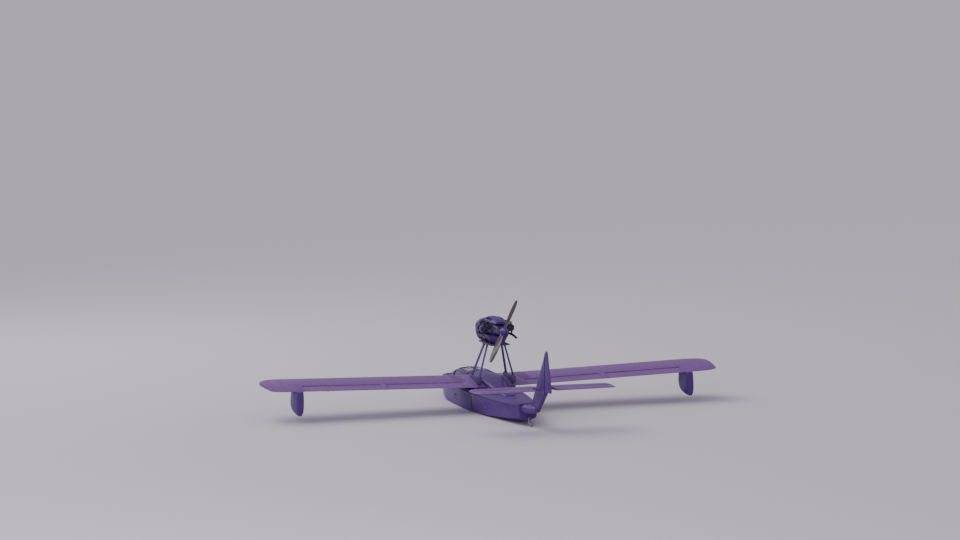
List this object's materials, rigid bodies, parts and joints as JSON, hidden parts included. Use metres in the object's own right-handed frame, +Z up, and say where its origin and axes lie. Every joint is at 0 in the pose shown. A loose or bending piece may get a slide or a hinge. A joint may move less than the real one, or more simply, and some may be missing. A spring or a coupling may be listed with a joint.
{
  "type": "flying boat",
  "caption": "Small hull flying boat with slab-sided wing-tip floats, a pusher engine on a strut pylon, a swept fin, a front-hinged canopy and working control surfaces.",
  "frame": {"origin": "on the centre plane at the static waterline, below the middle of the wing's chord", "axes": "+X forward to the bow, +Y to port, +Z up"},
  "size_m": [7.42, 10.895, 2.9149],
  "materials": {
    "hull_paint": "gloss enamel, dark blue-violet",
    "wing_paint": "gloss enamel, slightly paler blue-violet",
    "cowl_paint": "gloss enamel, darkest blue-violet",
    "panel_paint": "matt dark crackle paint",
    "bare_metal": "dull salt-worn metal",
    "dark_metal": "dark painted steel",
    "engine_metal": "dark heat-stained castings",
    "black_rubber": "matt moulded rubber",
    "seat_fabric": "woven seat cloth with sewn seams",
    "varnished_wood": "varnished laminated wood",
    "window_glass": "clear acrylic, faintly tinted"
  },
  "bodies": {
    "airframe": {"hull_forward": "hull_paint", "hull_aft": "hull_paint", "keel_strip": "bare_metal", "mooring_cleat": "bare_metal", "wing_center": "wing_paint", "dorsal_fairing": "hull_paint", "cabin_bulkhead": "hull_paint", "cabin_floor": "varnished_wood", "seat_bench": "varnished_wood", "instrument_panel": "panel_paint", "rudder_pedals": "dark_metal", "fin": "wing_paint", "engine_bed": "dark_metal", "nacelle_belly": "cowl_paint", "nacelle_nose": "cowl_paint", "nacelle_top": "cowl_paint", "engine_case": "engine_metal", "spray_rail_left": "bare_metal", "spray_rail_right": "bare_metal", "seat_cushion_left": "seat_fabric", "seat_cushion_right": "seat_fabric", "seat_back_left": "seat_fabric", "seat_back_right": "seat_fabric", "control_stick_left": "black_rubber", "control_stick_right": "black_rubber", "tailplane_left": "wing_paint", "tailplane_right": "wing_paint", "pylon_rail_left": "dark_metal", "pylon_rail_right": "dark_metal", "pylon_front_leg_left": "hull_paint", "pylon_front_leg_right": "hull_paint", "pylon_rear_leg_left": "hull_paint", "pylon_rear_leg_right": "hull_paint", "cylinders_left": "engine_metal", "cylinders_right": "engine_metal", "exhaust_left": "dark_metal", "exhaust_right": "dark_metal", "wing_left": "wing_paint", "wing_right": "wing_paint", "float_left": "hull_paint", "float_right": "hull_paint"},
    "canopy": {"canopy_frame": "hull_paint", "windscreen_left": "window_glass", "windscreen_right": "window_glass", "side_window_left": "window_glass", "side_window_right": "window_glass", "roof_window_left": "window_glass", "roof_window_right": "window_glass"},
    "propeller": {"propeller": "varnished_wood"},
    "rudder": {"rudder": "wing_paint"},
    "water_rudder": {"water_rudder": "bare_metal"},
    "elevator": {"elevator": "wing_paint"},
    "aileron_left": {"aileron_left": "wing_paint"},
    "aileron_right": {"aileron_right": "wing_paint"},
    "flap_left": {"flap_left": "wing_paint"},
    "flap_right": {"flap_right": "wing_paint"}
  },
  "joints": [
    {"name": "propeller_spin", "type": "hinge", "parent": "airframe", "child": "propeller", "pos_m": [-1, 0, 1.935], "axis": [1, 0, 0], "continuous": true},
    {"name": "canopy_tilt", "type": "hinge", "parent": "airframe", "child": "canopy", "pos_m": [2.352, 0, 0.542], "axis": [0, 1, 0], "range_deg": [0, 60]},
    {"name": "rudder_turn", "type": "hinge", "parent": "airframe", "child": "rudder", "pos_m": [-4.06, 0, 0.935], "axis": [0, 0, 1], "range_deg": [-25, 25]},
    {"name": "water_rudder_turn", "type": "hinge", "parent": "airframe", "child": "water_rudder", "pos_m": [-2.796, 0, 0.19], "axis": [0, 0, 1], "range_deg": [-25, 25]},
    {"name": "elevator_tilt", "type": "hinge", "parent": "airframe", "child": "elevator", "pos_m": [-3.79, 0, 0.97], "axis": [0, 1, 0], "range_deg": [-20, 25]},
    {"name": "aileron_left_tilt", "type": "hinge", "parent": "airframe", "child": "aileron_left", "pos_m": [-0.248, 0.61923, 0.64099], "axis": [0, 0.9997, 0.0262], "range_deg": [-20, 20]},
    {"name": "aileron_right_tilt", "type": "hinge", "parent": "airframe", "child": "aileron_right", "pos_m": [-0.248, -0.61923, 0.64099], "axis": [0, 0.9997, -0.0262], "range_deg": [-20, 20]},
    {"name": "flap_left_tilt", "type": "hinge", "parent": "airframe", "child": "flap_left", "pos_m": [-0.248, 0.61923, 0.64099], "axis": [0, -0.9997, -0.0262], "range_deg": [0, 30]},
    {"name": "flap_right_tilt", "type": "hinge", "parent": "airframe", "child": "flap_right", "pos_m": [-0.248, -0.61923, 0.64099], "axis": [0, -0.9997, 0.0262], "range_deg": [0, 30]}
  ],
  "couplings": [
    {"joint": "water_rudder_turn", "follows": "rudder_turn", "ratio": 1},
    {"joint": "aileron_right_tilt", "follows": "aileron_left_tilt", "ratio": -1},
    {"joint": "flap_right_tilt", "follows": "flap_left_tilt", "ratio": 1}
  ]
}
